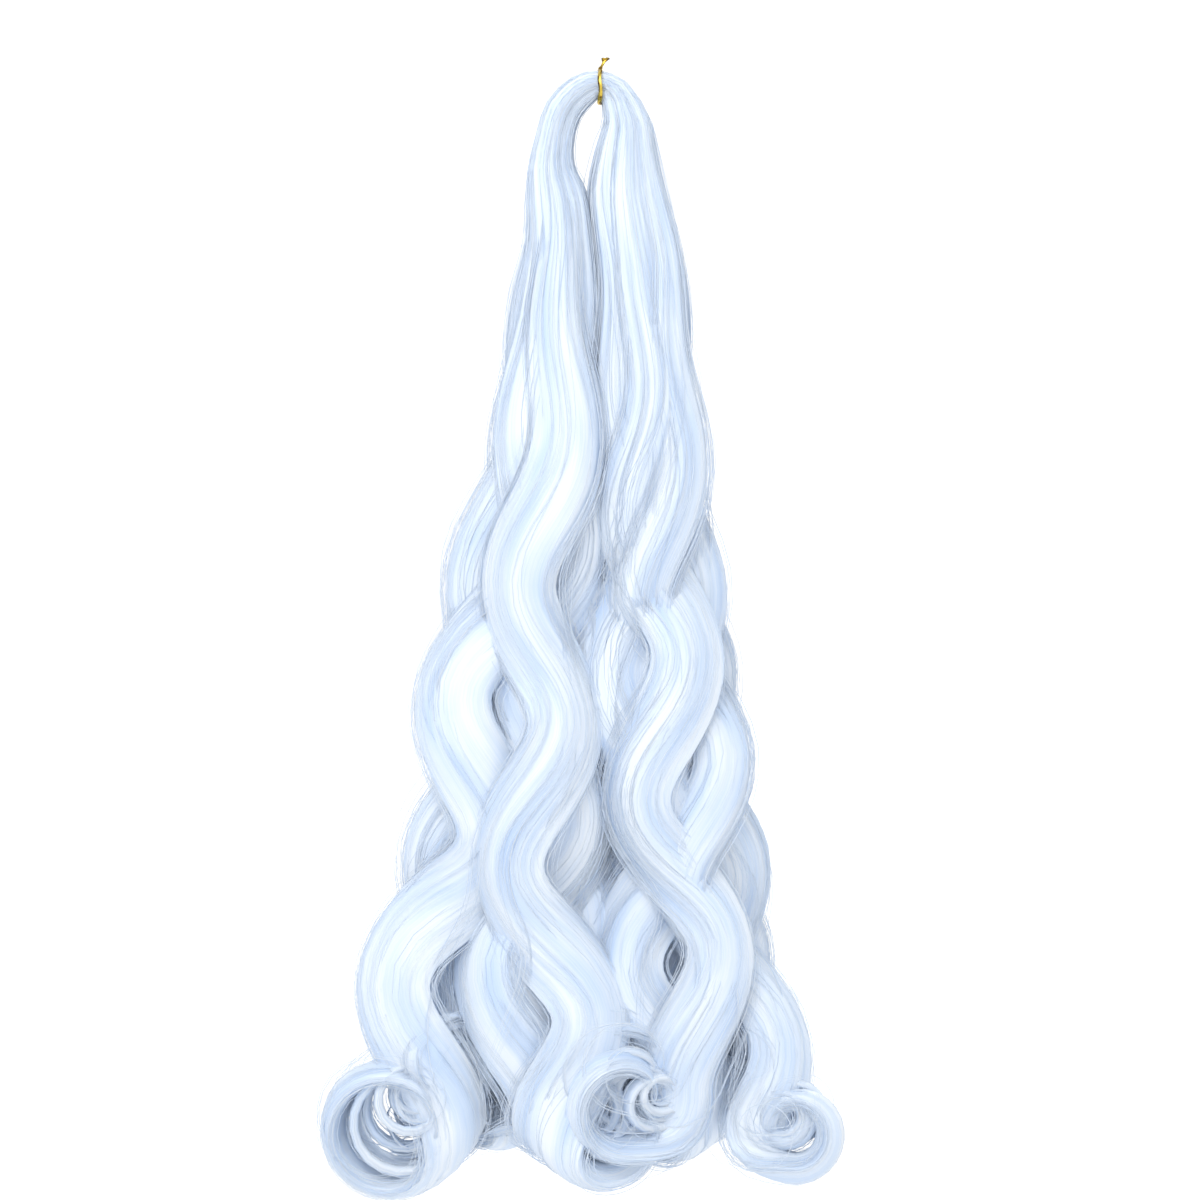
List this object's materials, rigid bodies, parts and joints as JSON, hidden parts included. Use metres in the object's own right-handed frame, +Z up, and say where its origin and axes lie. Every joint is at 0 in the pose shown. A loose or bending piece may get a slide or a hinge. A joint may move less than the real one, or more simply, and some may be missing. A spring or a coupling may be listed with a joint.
{
  "type": "braiding hair extension",
  "caption": "Hank of wavy braiding hair folded at its middle and hung by a twist tie, its two halves ending in loose curls.",
  "frame": {"origin": "tip of the twist tie, where the hank hangs", "axes": "+Z up the hank, -Y out of its front, +X to the right as seen from the front"},
  "size_m": [0.261, 0.0943, 0.571],
  "materials": {
    "hair": "silky synthetic fibre, near white with a cool tint",
    "gold_foil": "gold metallised film over a thin wire"
  },
  "bodies": {
    "root": {"hair_hank": "hair", "twist_tie": "gold_foil"}
  },
  "joints": []
}
